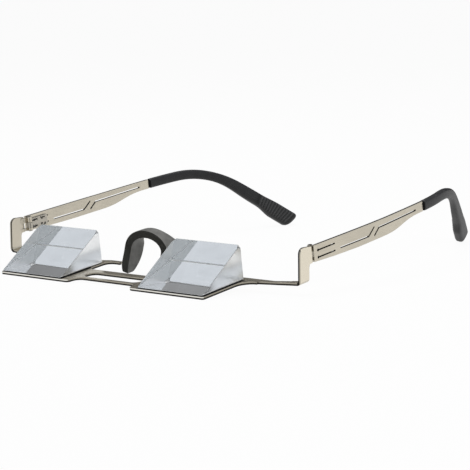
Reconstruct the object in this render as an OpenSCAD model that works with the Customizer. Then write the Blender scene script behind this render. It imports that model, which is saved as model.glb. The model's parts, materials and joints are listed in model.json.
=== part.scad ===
// Belay glasses: two prisms on a stamped steel front, with slotted steel temples that fold.
// Sizes are in millimetres. Every piece is drawn in the frame of the front sheet: x runs across,
// y runs back from the front edge of the prisms, z runs up from their mirrored undersides.
// on_table() then stands the whole on the front edge of the trays and the ends of the ear tips.
// The wearer's left is at +x. Left pieces are drawn, right pieces are their mirror images.

/* [Prisms] */
// Width of a prism
prism_w = 30; // [26:0.5:31]
// Depth of a prism, from its front edge to its upright back face
prism_d = 21.6; // [20:0.1:22.6]
// Height of the upright back face
prism_h = 12.4; // [11:0.1:13.5]
// Distance between the prism centres, the wearer's pupils
pupil_gap = 67; // [66:0.5:68.5]
// Width of the small bevels that break the long edges
prism_bevel = 0.35; // [0.2:0.05:0.6]
// Size of the cuts at the two upper corners
prism_corner = 1.1; // [0.6:0.1:1.6]
// Thickness of the silvered and lacquered layer under a prism
coat_t = 0.15; // [0.1:0.05:0.2]
// Thickness of the bond between that layer and the tray
bond_t = 0.15; // [0.1:0.05:0.25]
// How far the bond stays inside the prism's edges
bond_inset = 0.1; // [0.05:0.05:0.6]

/* [Front sheet] */
// Thickness of the steel sheet
sheet_t = 1; // [0.8:0.05:1.1]
// How far the tray shows outside the prism, in front and at the temple side
tray_lip = 0.4; // [0.2:0.1:0.6]
// How far the tray shows behind the prism
tray_ledge = 3.2; // [2.8:0.1:3.6]
// How far the tray shows at the nose side, at the front corner
tray_nose_lip = 4; // [3.4:0.1:4.4]
// How far the front bar is set back from the front edge of the prisms
front_bar_y = 4.2; // [3.8:0.1:4.6]
// Width of the front bar
front_bar_w = 1.2; // [0.9:0.1:1.6]
// Distance of the middle bar from the front edge of the prisms
middle_bar_y = 11.3; // [10.6:0.1:12]
// Width of the middle bar
middle_bar_w = 2.9; // [2.4:0.1:3.2]
// Length of the slot between the two bars
bridge_slot = 27; // [24:0.5:28]
// Width of the arm that carries a foot of the nose saddle
prong_w = 1.4; // [1.1:0.1:1.6]
// Width of the wing between a tray and an upright
wing_w = 2.9; // [2.4:0.1:3.4]
// Radius of the inside of the bend from wing to upright
bend_r = 0.6; // [0.4:0.1:1]

/* [Uprights and hinges] */
// Width of the front across the outer faces of the uprights
front_w = 140.8; // [139:0.2:143]
// Distance of the gap before the temple from the front edge of the prisms
hinge_y = 33.4; // [32.8:0.1:34.4]
// Width of an upright, front to back
upright_w = 5; // [4.4:0.1:5.2]
// Forward lean of an upright
upright_lean = 7.8; // [6:0.1:9]
// Height of the arm's upper edge
arm_top = 10.9; // [10.5:0.1:11.5]
// Height of the arm's lower edge
arm_bottom = 5; // [4.8:0.1:5.2]
// Gap between arm and temple, seen from the side
hinge_gap = 1.2; // [0.8:0.1:1.4]
// Radius of the hinge pin
pin_r = 0.5; // [0.4:0.05:0.6]
// Radial clearance of the pin in its knuckles
pin_fit = 0.04; // [0.02:0.01:0.08]
// Thickness of the rolled ends of the arm
tine_t = 0.45; // [0.35:0.05:0.5]
// Thickness of the spring clip and of its rolled end
clip_t = 0.6; // [0.5:0.05:0.8]
// Height of the clip's rolled end, between the two of the arm
knuckle_h = 2; // [1.6:0.1:2.2]
// Clearance between the knuckles, along the pin
knuckle_fit = 0.1; // [0.08:0.01:0.2]
// Length of the clip behind the hinge gap
clip_end = 11.4; // [11:0.1:11.6]

/* [Temples] */
// Length of the steel blade behind the hinge gap
blade_len = 69; // [67:0.5:72]
// Length of the blade's straight part
blade_straight = 18; // [15:0.5:22]
// Radius of the inward bow of the rest of the blade
blade_bow_r = 660; // [500:10:900]
// Height of the blade's lower edge at its deepest
blade_low = 4; // [3.6:0.1:4.2]
// Height of the blade where it enters the ear tip
blade_neck = 3.7; // [3.2:0.1:3.8]
// Height of the blade's upper edge at the ear tip
blade_top = 10.3; // [10:0.1:10.5]
// Distance behind the hinge gap where the lower edge begins to rise
rise_start = 43; // [40:0.5:46]
// Distance behind the hinge gap where the lower edge ends its rise
rise_end = 65.5; // [60:0.5:66]
// Width of the two bent slots
slot_w = 0.6; // [0.4:0.05:0.7]
// Width of the two hinge slits
slit_w = 0.5; // [0.3:0.05:0.6]
// Radius of the round front ends of the two hinge slits
slit_end_r = 0.5; // [0.4:0.05:0.6]
// Height midway between the two hinge slits
slit_mid = 7.4; // [7.2:0.1:7.7]
// Distance between the two hinge slits
slit_gap = 2.5; // [2.3:0.1:2.6]

/* [Ear tips] */
// Height of the ear tip over the blade
tip_h = 3.9; // [3.6:0.1:4.2]
// Thickness of the ear tip over the blade
tip_t = 2.5; // [2.2:0.1:3]
// Height of the ear tip half way down the drop
shank_h = 5.3; // [4.5:0.1:5.6]
// Height of the paddle at the end
paddle_h = 7.1; // [6:0.1:7.5]
// Thickness of the paddle
paddle_t = 3; // [2.6:0.1:3.4]
// Length of the ear tip along the floor
tip_run = 67.4; // [63:0.2:70]
// Radius of the ear tip's inward curve, seen from above
tip_bow_r = 92; // [80:1:110]
// Heading of the paddle, inward from straight back
tip_turn = 28.5; // [26:0.5:31]
// Distance from the blade where the ear tip begins to drop
drop_start = 15.6; // [12:0.2:18]
// Radius of the drop over the ear
drop_r = 45; // [40:1:52]
// Slope of the paddle
drop_turn = 38; // [34:0.5:42]
// Twist of the paddle, its upper edge outward
paddle_twist = 18; // [0:1:22]
// Length of the blade's tang inside the ear tip
tang_len = 15; // [10:0.5:18]
// Number of grip ribs across the inner face of the paddle
rib_count = 12; // [6:1:14]
// Distance from rib to rib
rib_pitch = 1.4; // [1.2:0.1:1.6]
// Height of a rib
rib_h = 0.25; // [0.1:0.05:0.3]

/* [Nose saddle] */
// Width across the legs at their widest
saddle_w = 21.2; // [20:0.1:22]
// Width across the feet
saddle_feet = 18.6; // [17.6:0.1:19.4]
// Height of the arch's top over the underside of the prisms
saddle_top = 12.5; // [11.5:0.1:13.2]
// Depth of the feet below the underside of the prisms
saddle_foot = 2.5; // [2.2:0.1:2.8]
// Distance of the feet's front from the front edge of the prisms
saddle_y = 22.2; // [21.8:0.1:22.6]
// How far the arch stands behind the feet
saddle_set = 3.8; // [3:0.1:4.2]
// Thickness of a leg
leg_t = 3.4; // [3:0.1:3.6]
// Thickness of the arch at its top
crown_t = 3.2; // [2.8:0.1:3.4]
// Depth of the arch at its top
crown_d = 4.6; // [4:0.1:6]
// Depth of the pads at their widest
pad_d = 6.9; // [6:0.1:7.2]
// Radius of the steel end inside a foot
prong_r = 0.45; // [0.35:0.05:0.45]

/* [Hidden] */

round_fn = 48;
small_fn = 24;
bend_fn = 180;
bow_fn = 720;
slack = 0.01;
groove_end = 1.08;

sheet_top = -coat_t - bond_t;
sheet_low = sheet_top - sheet_t;
prism_x = pupil_gap / 2;
prism_in = prism_x - prism_w / 2;
prism_out = prism_x + prism_w / 2;

tray_front = -tray_lip;
tray_out = prism_out + tray_lip;
tray_back = prism_d + tray_ledge;
tray_nose = prism_in - tray_nose_lip;
tray_nose_r = 1.6;
nose_fillet = front_bar_y - tray_front - tray_nose_r;
slot_y = (front_bar_y + front_bar_w + middle_bar_y) / 2;
slot_r = (middle_bar_y - front_bar_y - front_bar_w) / 2;
bay_front = middle_bar_y + middle_bar_w;
bay_half = prism_in + 0.4;
bay_fillet = 3;
prong_y = tray_back + 0.5;
prong_back = prong_y + prong_w;
prong_tip = 13.2;
prong_end = 8;

face_out = front_w / 2;
face_in = face_out - sheet_t;
bend_out = bend_r + sheet_t;
arm_reach = 3.1;
upright_y = hinge_y - upright_w - arm_reach;
upright_base = sheet_low + bend_out;
corner_r = 2.1;
upright_top = arm_top + 0.4;
arm_gap_top = arm_top - 0.1;
blade_front_top = arm_top - 0.15;
arm_end = hinge_y - hinge_gap / 2;
blade_start = hinge_y + hinge_gap / 2;

pin_hole = pin_r + pin_fit;
tine_r = pin_hole + tine_t;
knuckle_r = pin_hole + clip_t;
pin_x = face_in - knuckle_r;
pin_y = blade_start + 0.8;
pin_head = 0.3;
seam = 24;
tine_seam = -60;
clip_seam = 36;
head_over = 0.3;
knuckle_low = slit_mid - knuckle_h / 2;
knuckle_high = slit_mid + knuckle_h / 2;
tine_spans = [[arm_bottom + pin_head, knuckle_low - knuckle_fit],
              [knuckle_high + knuckle_fit, blade_front_top - pin_head]];

slit_start = 2.9;
slit_end = 12.3;
tab_start = 6.2;
tab_end = 11;
tab_depth = 0.5;
tab_fit = 0.05;
clip_start = pin_y - hinge_y + 1.1;
clip_margin = 0.8;
clip_holes = [8.3, 9.9];
clip_hole_r = 0.3;
window_span = [3, 6];
window_h = 0.5;
clip_corner = 0.6;
slit_zs = [slit_mid - slit_gap / 2, slit_mid + slit_gap / 2];

belly_start = [12, 4.4];
belly_full = 26;
blade_reach = 20;
rise_bend = 1.8;
front_slot = [[15.7, 6.4], [32.5, 6.2], [36, 8.6]];
rear_slot = [[36.1, 5.7], [39.1, 7.9], [blade_len - 5.3, 8.2]];

blade_end = hinge_y + blade_len;
bow_y = hinge_y + blade_straight;
bow_x = face_out - sheet_t / 2 - blade_bow_r;
bow_turn = asin((blade_len - blade_straight) / blade_bow_r);
tip_x = bow_x + blade_bow_r * cos(bow_turn);
tip_z = blade_top - blade_neck / 2;

// Smooth step from 0 to 1 while v goes from a to b.
function ease(v, a, b) = let (t = max(0, min(1, (v - a) / (b - a)))) t * t * (3 - 2 * t);

// The ear tip's centreline, for a distance h along the floor from the end of the blade.
tip_bow_run = tip_bow_r * (tip_turn - bow_turn) * PI / 180;
function tip_heading(h) = h < tip_bow_run ? bow_turn + h / tip_bow_r * 180 / PI : tip_turn;
function tip_arc(a) = tip_bow_r * [cos(a) - cos(bow_turn), sin(a) - sin(bow_turn)];
function tip_plan(h) =
    let (past = max(0, h - tip_bow_run), a = tip_heading(h))
    tip_arc(a) + past * [-sin(a), cos(a)];
drop_run = drop_r * sin(drop_turn);
function tip_slope(h) = asin(max(0, min(sin(drop_turn), (h - drop_start) / drop_r)));
function tip_fall(h) =
    let (past = max(0, h - drop_start - drop_run))
    drop_r * (1 - cos(tip_slope(h))) + past * tan(drop_turn);
function tip_point(h) =
    let (p = tip_plan(h)) [tip_x + p[0], blade_end + p[1], tip_z - tip_fall(h)];

// Half sizes of the ear tip's section at h: above and below the centreline, and half thickness.
shank_from = 33;
shank_to = 50;
paddle_from = 52.5;
paddle_to = 59.5;
rise_share = 0.28;
end_round = 2.2;
end_power = 2.6;
end_slant = 0.45;
collar_gap = 0.05;
function tip_end(h) =
    let (t = max(0, (h - tip_run + end_round) / end_round))
    max(0.2, pow(max(0, 1 - pow(t, end_power)), 1 / end_power));
function tip_extra(h) =
    (shank_h - tip_h) * ease(h, shank_from, shank_to)
    + (paddle_h - shank_h) * ease(h, paddle_from, paddle_to);
function tip_up(h) = tip_h / 2 + rise_share * tip_extra(h);
function tip_down(h) = tip_h / 2 + (1 - rise_share) * tip_extra(h);
function tip_half(h) = (tip_t + (paddle_t - tip_t) * ease(h, shank_from, paddle_to)) / 2;
function tip_twist(h) = paddle_twist * ease(h, drop_start, paddle_to);
rib_end = tip_run - end_round;
rib_start = rib_end - rib_count * rib_pitch * cos(drop_turn);
function rib(h) =
    h < rib_start || h > rib_end ? 0
    : rib_h * pow(sin(180 * (h - rib_start) / (rib_pitch * cos(drop_turn))), 2);

// Stations along the ear tip: even ones first, then four to a rib, then the rounded end.
plain_stations = 24;
end_stations = 5;
tip_stations = concat(
    [for (i = [0:plain_stations - 1]) collar_gap + (rib_start - collar_gap) * i / plain_stations],
    [for (i = [0:rib_count * 4]) rib_start + (rib_end - rib_start) * i / (rib_count * 4)],
    [for (i = [1:end_stations]) rib_end + end_round * sin(90 * i / end_stations)]);

// A rounded oblong, crisper at its corners as power falls.
ring_n = 20;
function squircle(a, power) =
    [sign(cos(a)) * pow(abs(cos(a)), power), sign(sin(a)) * pow(abs(sin(a)), power)];

// One ring of the ear tip, with the ribs on the side that faces the head.
tip_power = 0.55;
function tip_ring(h) =
    let (p = tip_point(h), a = tip_heading(h), s = tip_slope(h), k = tip_end(h),
         up = tip_up(h), down = tip_down(h), mid = (up - down) / 2, half = (up + down) / 2,
         side = [cos(a), sin(a), 0], above = [-sin(a) * sin(s), cos(a) * sin(s), cos(s)],
         along = [-sin(a) * cos(s), cos(a) * cos(s), -sin(s)], w = tip_twist(h),
         out = side * cos(w) - above * sin(w), rise = above * cos(w) + side * sin(w),
         slant = end_slant * ease(h, paddle_from, tip_run))
    [for (i = [0:ring_n - 1])
        let (q = squircle(360 * i / ring_n, tip_power), v = mid + q[1] * half * k,
             grip = q[0] < 0 ? -rib(h) * min(1, 1.6 * (1 - abs(q[1]))) : 0)
        p + out * (q[0] * tip_half(h) * k + grip) + (rise + along * slant) * v];
tip_rings = [for (h = tip_stations) tip_ring(h)];

// The pitch at which the front edge of the trays and the ear tips touch one plane.
rest_pitch = max([for (r = tip_rings) for (v = r) atan2(sheet_low - v[2], v[1] - tray_front)]);
function level(p) = [p[0], p[1] * cos(rest_pitch) - p[2] * sin(rest_pitch),
                     p[1] * sin(rest_pitch) + p[2] * cos(rest_pitch)];
rest_low = level([0, tray_front, sheet_low])[2];
rest_front = level([0, tray_front, sheet_top])[1];
rest_back = max([for (r = tip_rings) for (v = r) level(v)[1]]);
rest_mid = (rest_front + rest_back) / 2;

module on_table() {
    translate([0, -rest_mid, -rest_low]) rotate([rest_pitch, 0, 0]) children();
}

module right() {
    mirror([1, 0, 0]) children();
}

// A side view drawn in y and z, made solid from x = from to x = to.
module side_view(from, to) {
    translate([from, 0, 0]) rotate([90, 0, 90]) linear_extrude(to - from) children();
}

// A plan in x and y, made solid from z = from to z = to.
module plan(from, to) {
    translate([0, 0, from]) linear_extrude(to - from) children();
}

// A solid skinned over rings of points, closed by flat ends.
module skin(rings) {
    n = len(rings[0]);
    m = len(rings);
    polyhedron(
        points = [for (r = rings) for (p = r) p],
        faces = concat(
            [[for (i = [n - 1:-1:0]) i]],
            [for (j = [0:m - 2]) for (i = [0:n - 1])
                [j * n + i, j * n + (i + 1) % n, (j + 1) * n + (i + 1) % n]],
            [for (j = [0:m - 2]) for (i = [0:n - 1])
                [j * n + i, (j + 1) * n + (i + 1) % n, (j + 1) * n + i]],
            [[for (i = [0:n - 1]) (m - 1) * n + i]]));
}

// A round-ended groove through a list of points.
module groove(points, w) {
    for (i = [0:len(points) - 2]) {
        step = points[i + 1] - points[i];
        translate(points[i]) rotate(atan2(step[1], step[0])) translate([0, -w / 2]) square([norm(step), w]);
    }
    for (p = points) translate(p) circle(d = w * groove_end, $fn = small_fn);
}

// Prisms, with their mirrored undersides and the bond under them.

module prism() {
    slope = prism_h / prism_d;
    top = prism_d - prism_bevel / slope;
    intersection() {
        translate([prism_in, 0, 0]) side_view(0, prism_w) polygon([
            [prism_bevel, 0], [prism_d - prism_bevel, 0], [prism_d, prism_bevel],
            [prism_d, prism_h - prism_bevel], [top, prism_h - prism_bevel],
            [prism_bevel / 2, prism_bevel / 2 * slope]]);
        rotate([90, 0, 0]) translate([0, 0, -prism_d]) linear_extrude(prism_d) polygon([
            [prism_in, 0], [prism_out, 0], [prism_out, prism_h - prism_corner],
            [prism_out - prism_corner, prism_h], [prism_in + prism_corner, prism_h],
            [prism_in, prism_h - prism_corner]]);
    }
}

module mirror_coat() {
    plan(-coat_t, 0) translate([prism_in + prism_bevel, prism_bevel])
        square([prism_w - 2 * prism_bevel, prism_d - 2 * prism_bevel]);
}

module bond_pad() {
    edge = prism_bevel + bond_inset;
    plan(sheet_top, -coat_t) translate([prism_in + edge, edge])
        square([prism_w - 2 * edge, prism_d - 2 * edge]);
}

// The stamped and bent front sheet.

// The fillet of a corner at x, y that opens towards the diagonal at turn + 45 degrees.
module corner_fill(x, y, turn, r) {
    translate([x, y]) rotate(turn) difference() {
        translate([-slack, -slack]) square(r + slack);
        translate([r, r]) circle(r, $fn = round_fn);
    }
}

module tray_plan() {
    lip_r = 0.8;
    difference() {
        union() {
            translate([0, tray_front]) square([tray_out, tray_back - tray_front]);
            polygon([[prong_tip, prong_y], [prism_in + 6, tray_back - 1], [prism_in + 6, tray_back],
                     [prism_in, prong_back], [prong_tip, prong_back]]);
        }
        translate([-slack, tray_front - slack])
            square([tray_nose + slack, front_bar_y - tray_front + slack]);
        corner_fill(tray_nose, tray_front, 0, tray_nose_r);
        corner_fill(tray_out, tray_front, 90, lip_r);
        translate([-slack, slot_y - slot_r]) square([bridge_slot / 2 - slot_r + slack, 2 * slot_r]);
        translate([bridge_slot / 2 - slot_r, slot_y]) circle(slot_r, $fn = round_fn);
        difference() {
            translate([-slack, bay_front]) square([bay_half + slack, prong_y - bay_front]);
            corner_fill(bay_half, bay_front, 90, bay_fillet);
            corner_fill(bay_half, prong_y, 180, bay_fillet);
        }
    }
    corner_fill(tray_nose, front_bar_y, 180, nose_fillet);
}

module wing_plan() {
    wing_end = face_out - bend_out;
    root_fillet = 5.5;
    wing_front = tray_back - wing_w;
    wing_back = upright_y + wing_w - 0.5;
    polygon([[tray_out - 4, wing_front - 3], [tray_out, wing_front - 0.6], [tray_out + 4, wing_front],
             [wing_end, upright_y], [wing_end, wing_back], [wing_end - 9, tray_back + 0.1],
             [tray_out - 4, tray_back]]);
    corner_fill(tray_out, wing_front - 0.2, 270, root_fillet);
    corner_fill(wing_end, wing_back - 0.6, 90, upright_y + upright_w - wing_back + 0.6);
}

module upright_side() {
    lean = tan(upright_lean);
    function edge(z) = (z - upright_base) * lean;
    inner_r = 0.8;
    difference() {
        polygon([[upright_y, upright_base - slack], [upright_y + edge(arm_top), upright_top],
                 [upright_y + edge(arm_top) + corner_r, upright_top], [arm_end, arm_gap_top],
                 [arm_end, arm_bottom], [upright_y + upright_w + edge(arm_bottom), arm_bottom],
                 [upright_y + upright_w, upright_base - slack]]);
        translate([upright_y + edge(arm_top), upright_top]) rotate(-upright_lean / 2)
            corner_fill(-0.1, 0.1, 270, corner_r);
    }
    translate([upright_y + upright_w + edge(arm_bottom), arm_bottom]) corner_fill(0, 0, 270, inner_r);
}

// The outer quarter of a bend that runs front to back.
module wing_bend() {
    translate([face_out - bend_out, upright_y, upright_base]) rotate([-90, 0, 0])
        linear_extrude(upright_w) intersection() {
            difference() {
                circle(bend_out, $fn = round_fn);
                circle(bend_r, $fn = round_fn);
            }
            square(bend_out);
        }
}

// A knuckle rolled from a strip, with its seam turned to the angle given.
module knuckle_plan(r, from) {
    difference() {
        circle(r, $fn = round_fn);
        circle(pin_hole, $fn = round_fn);
        polygon([[0, 0], 2 * r * [cos(from), sin(from)], 2 * r * [cos(from + seam), sin(from + seam)]]);
    }
}

module tine_plan() {
    translate([pin_x, pin_y]) knuckle_plan(tine_r, tine_seam);
    polygon([[face_in - slack, arm_end - 1.9], [face_in + sheet_t / 2, arm_end - 1.9],
             [face_in + sheet_t / 2, arm_end], [pin_x + tine_r, arm_end], [pin_x + tine_r, pin_y],
             [pin_x + pin_hole, pin_y], [pin_x + pin_hole, arm_end - 0.5]]);
}

module front_half() {
    plan(sheet_low, sheet_top) {
        tray_plan();
        wing_plan();
    }
    wing_bend();
    side_view(face_in, face_out) upright_side();
    for (s = tine_spans) plan(s[0], s[1]) tine_plan();
    prong();
}

prong_from = [prong_tip + 0.4, prong_y + prong_w / 2, sheet_top - sheet_t / 2];
prong_to = [prong_end, saddle_y + 3, 0.7];

// A round steel end, from the sheet's arm into a foot of the saddle.
module prong() {
    way = prong_to - prong_from;
    translate(prong_from) rotate([0, acos(way[2] / norm(way)), atan2(way[1], way[0])])
        cylinder(r = prong_r, h = norm(way), $fn = small_fn);
}

// The nose saddle: a lofted horseshoe whose feet stand forward, deepest along the nose pads.

arch_z = 4.6;
foot_share = 0.8;
arch_x = (saddle_w - leg_t) / 2;
foot_x = (saddle_feet - foot_share * leg_t) / 2;
arch_rise = saddle_top - crown_t / 2 - arch_z;
leg_steps = 8;
arch_steps = 20;
set_z = 6.5;
pad_z = 3;
foot_d = 2.4;
crown_dip = 0.18;
saddle_power = 0.4;
saddle_path = concat(
    [for (i = [0:leg_steps - 1]) [i / leg_steps, 0]],
    [for (i = [0:arch_steps]) [1, 180 * i / arch_steps]],
    [for (i = [leg_steps - 1:-1:0]) [i / leg_steps, 180]]);

function saddle_depth(z) =
    z < pad_z ? foot_d + (pad_d - foot_d) * pow(sin(90 * (z + saddle_foot) / (pad_z + saddle_foot)), 0.7)
    : pad_d + (crown_d - pad_d) * ease(z, 7.5, saddle_top - crown_t / 2);
function saddle_ring(p) =
    let (t = p[0], a = p[1], reach = foot_x + (arch_x - foot_x) * sin(90 * t),
         x = -reach * cos(a), z = -saddle_foot + t * (arch_z + saddle_foot) + arch_rise * sin(a),
         thick = (leg_t + (crown_t - leg_t) * sin(a)) * (foot_share + (1 - foot_share) * ease(t, 0, 0.4)),
         d = saddle_depth(z) / 2, y = saddle_y + saddle_set * ease(z, -saddle_foot, set_z) + d,
         splay = atan((arch_x - foot_x) * cos(90 * t) * PI / 2 / (arch_z + saddle_foot)) * cos(a),
         out = [-cos(a) * cos(splay), 0, sin(a) + (t < 1 ? sin(abs(splay)) : 0)])
    [for (i = [0:ring_n - 1]) let (q = squircle(360 * i / ring_n, saddle_power))
        [x, y, z] + out * q[0] * thick / 2 + [0, 1, -crown_dip * sin(a)] * q[1] * d];

module nose_saddle_solid() {
    difference() {
        skin([for (p = saddle_path) saddle_ring(p)]);
        prong();
        right() prong();
    }
}

// The hinge pin, headed at both ends.
module hinge_pin() {
    low = tine_spans[0][0];
    high = tine_spans[1][1];
    translate([pin_x, pin_y, low - pin_head]) {
        cylinder(r = pin_r, h = high - low + 2 * pin_head, $fn = round_fn);
        for (z = [0, high - low + pin_head]) translate([0, 0, z])
            cylinder(r = pin_r + head_over, h = pin_head, $fn = round_fn);
    }
}

// The temple: a slotted blade, straight at the hinge and bowed behind it, with its tang.

module blade_side() {
    neck_low = blade_top - blade_neck;
    run = rise_end - rise_start;
    climb = neck_low - blade_low;
    turn = rise_bend * atan(climb / run);
    rise_r = (run * sin(turn) - climb * cos(turn)) / (2 - 2 * cos(turn));
    line_start = [rise_start + rise_r * sin(turn), blade_low + rise_r * (1 - cos(turn))];
    line_end = [rise_end - rise_r * sin(turn), neck_low - rise_r * (1 - cos(turn))];
    translate([hinge_y, 0]) difference() {
        union() {
            polygon([[hinge_gap / 2, arm_bottom], belly_start, [belly_full, blade_low],
                     [rise_start, blade_low], [rise_start, blade_top], [hinge_gap / 2, blade_front_top]]);
            intersection() {
                translate([rise_start, blade_low])
                    square([line_start[0] - rise_start, blade_top - blade_low]);
                translate([rise_start, blade_low + rise_r]) circle(rise_r, $fn = bend_fn);
            }
            polygon([line_start, line_end, [line_end[0], blade_top], [line_start[0], blade_top]]);
            difference() {
                translate([line_end[0], blade_low])
                    square([rise_end - line_end[0], blade_top - blade_low]);
                translate([rise_end, neck_low - rise_r]) circle(rise_r, $fn = bend_fn);
            }
            translate([rise_end, neck_low]) square([blade_len - rise_end, blade_neck]);
        }
        for (z = slit_zs) {
            groove([[slit_start, z], [slit_end, z]], slit_w);
            translate([slit_start, z]) circle(slit_end_r, $fn = small_fn);
        }
        groove(front_slot, slot_w);
        groove(rear_slot, slot_w);
    }
}

// The thickness of the blade in plan: straight, then an arc.
module blade_plan() {
    translate([face_in, hinge_y - 1]) square([sheet_t, blade_straight + 1]);
    translate([bow_x, bow_y]) intersection() {
        difference() {
            circle(blade_bow_r + sheet_t / 2, $fn = bow_fn);
            circle(blade_bow_r - sheet_t / 2, $fn = bow_fn);
        }
        translate([blade_bow_r - 20, -slack]) square([30, blade_len - blade_straight + slack]);
    }
}

module tang() {
    tang_h = blade_neck - 1.6;
    tang_t = sheet_t - 0.2;
    centre = [tip_x - tip_bow_r * cos(bow_turn), blade_end - tip_bow_r * sin(bow_turn)];
    plan(tip_z - tang_h / 2, tip_z + tang_h / 2) translate(centre) intersection() {
        difference() {
            circle(tip_bow_r + tang_t / 2, $fn = bend_fn);
            circle(tip_bow_r - tang_t / 2, $fn = bend_fn);
        }
        translate([tip_bow_r - 12, tip_bow_r * sin(bow_turn) - slack]) square([20, tang_len]);
    }
}

module temple() {
    intersection() {
        plan(0, arm_top + 1) blade_plan();
        side_view(face_out - blade_reach, face_out + 1) blade_side();
    }
    tang();
}

// The spring clip on the inner face of the temple, with its tabs in the slits.
module hinge_clip() {
    low = slit_zs[0] - clip_margin;
    high = slit_zs[1] + clip_margin;
    side_view(face_in - clip_t, face_in) translate([hinge_y, 0]) difference() {
        union() {
            translate([pin_y - hinge_y, knuckle_low])
                square([clip_start + clip_corner - pin_y + hinge_y, knuckle_h]);
            difference() {
                translate([clip_start, low]) square([clip_end - clip_start, high - low]);
                corner_fill(clip_start, low, 0, clip_corner);
                corner_fill(clip_end, low, 90, clip_corner);
                corner_fill(clip_end, high, 180, clip_corner);
                corner_fill(clip_start, high, 270, clip_corner);
            }
        }
        for (z = slit_zs) {
            for (s = clip_holes) translate([s, z]) circle(clip_hole_r, $fn = small_fn);
            translate([window_span[0], z - window_h / 2])
                square([window_span[1] - window_span[0], window_h]);
        }
    }
    for (z = slit_zs) translate([face_in - slack, hinge_y + tab_start, z - slit_w / 2 + tab_fit])
        cube([tab_depth + slack, tab_end - tab_start, slit_w - 2 * tab_fit]);
    plan(knuckle_low, knuckle_high) translate([pin_x, pin_y]) knuckle_plan(knuckle_r, clip_seam);
}

module ear_tip() {
    difference() {
        skin(tip_rings);
        tang();
    }
}

module front_frame() {
    color("lightsteelblue") on_table() {
        front_half();
        right() front_half();
    }
}

module prism_left() { color("paleturquoise") on_table() prism(); }
module prism_right() { color("paleturquoise") on_table() right() prism(); }
module mirror_coat_left() { color("dimgray") on_table() mirror_coat(); }
module mirror_coat_right() { color("dimgray") on_table() right() mirror_coat(); }
module bond_pad_left() { color("khaki") on_table() bond_pad(); }
module bond_pad_right() { color("khaki") on_table() right() bond_pad(); }
module nose_saddle() { color("darkslategray") on_table() nose_saddle_solid(); }
module hinge_pin_left() { color("gold") on_table() hinge_pin(); }
module hinge_pin_right() { color("gold") on_table() right() hinge_pin(); }
module temple_left() { color("silver") on_table() temple(); }
module temple_right() { color("silver") on_table() right() temple(); }
module hinge_clip_left() { color("orange") on_table() hinge_clip(); }
module hinge_clip_right() { color("orange") on_table() right() hinge_clip(); }
module ear_tip_left() { color("darkgray") on_table() ear_tip(); }
module ear_tip_right() { color("darkgray") on_table() right() ear_tip(); }

front_frame();
prism_left();
prism_right();
mirror_coat_left();
mirror_coat_right();
bond_pad_left();
bond_pad_right();
nose_saddle();
hinge_pin_left();
hinge_pin_right();
temple_left();
temple_right();
hinge_clip_left();
hinge_clip_right();
ear_tip_left();
ear_tip_right();
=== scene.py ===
import json
from math import asin, atan, atan2, cos, pi, radians, sin, tan

import bpy
from bpy.props import FloatProperty, FloatVectorProperty, IntProperty, PointerProperty
from mathutils import Matrix, Vector


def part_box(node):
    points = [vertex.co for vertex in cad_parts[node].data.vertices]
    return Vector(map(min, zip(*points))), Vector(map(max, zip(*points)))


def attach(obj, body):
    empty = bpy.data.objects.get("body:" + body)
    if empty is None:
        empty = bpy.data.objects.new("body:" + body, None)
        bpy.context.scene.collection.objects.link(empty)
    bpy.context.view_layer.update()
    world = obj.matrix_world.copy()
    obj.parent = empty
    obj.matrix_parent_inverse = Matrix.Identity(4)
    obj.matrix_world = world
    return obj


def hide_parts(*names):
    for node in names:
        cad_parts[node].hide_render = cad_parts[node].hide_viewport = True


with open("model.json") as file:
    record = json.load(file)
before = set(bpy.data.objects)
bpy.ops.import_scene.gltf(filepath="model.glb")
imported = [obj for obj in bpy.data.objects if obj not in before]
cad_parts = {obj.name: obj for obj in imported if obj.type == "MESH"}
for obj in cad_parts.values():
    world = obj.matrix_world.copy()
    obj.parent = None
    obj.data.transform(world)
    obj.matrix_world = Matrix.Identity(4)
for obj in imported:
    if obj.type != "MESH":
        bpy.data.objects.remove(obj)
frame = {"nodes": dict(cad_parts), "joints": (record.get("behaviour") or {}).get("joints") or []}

bl_info = {
    "name": "Belay glasses",
    "version": (1, 0, 0),
    "blender": (4, 5, 0),
    "location": "3D View > Sidebar > Belay glasses",
    "description": "Dresses the belay glasses: steel, glass, rubber saddle, ear tips and stage",
    "category": "Object",
}

# The frame of the front sheet, as in the part's source: x across, y back from the front edge of
# the prisms, z up from their undersides. The hinge says how that sheet stands on the table.
MM = 0.001
HINGE = next(j for j in frame["joints"] if j["name"] == "temple_left_hinge")
PIN_ON_SHEET = Vector((68.26, 34.8, 7.4)) * MM


def sheet_matrix():
    """From the front sheet's frame, in metres, to the table's."""
    axis = HINGE["axis"]
    turn = Matrix.Rotation(atan2(-axis[1], axis[2]), 4, "X")
    return Matrix.Translation(Vector(HINGE["pos_m"]) - turn @ PIN_ON_SHEET) @ turn


SHEET = sheet_matrix()


def length(name, description, value):
    """A size given in millimetres and kept in metres."""
    return FloatProperty(name=name, description=description, default=value * MM,
                         unit="LENGTH", subtype="DISTANCE", precision=4)


def angle(name, description, value):
    """An angle given in degrees and kept in radians."""
    return FloatProperty(name=name, description=description, default=radians(value),
                         unit="ROTATION", subtype="ANGLE")


def colour(name, description, value):
    return FloatVectorProperty(name=name, description=description, default=value, subtype="COLOR",
                               size=3, min=0, max=1)


def factor(name, description, value):
    return FloatProperty(name=name, description=description, default=value, min=0, max=1,
                         subtype="FACTOR")


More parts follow.
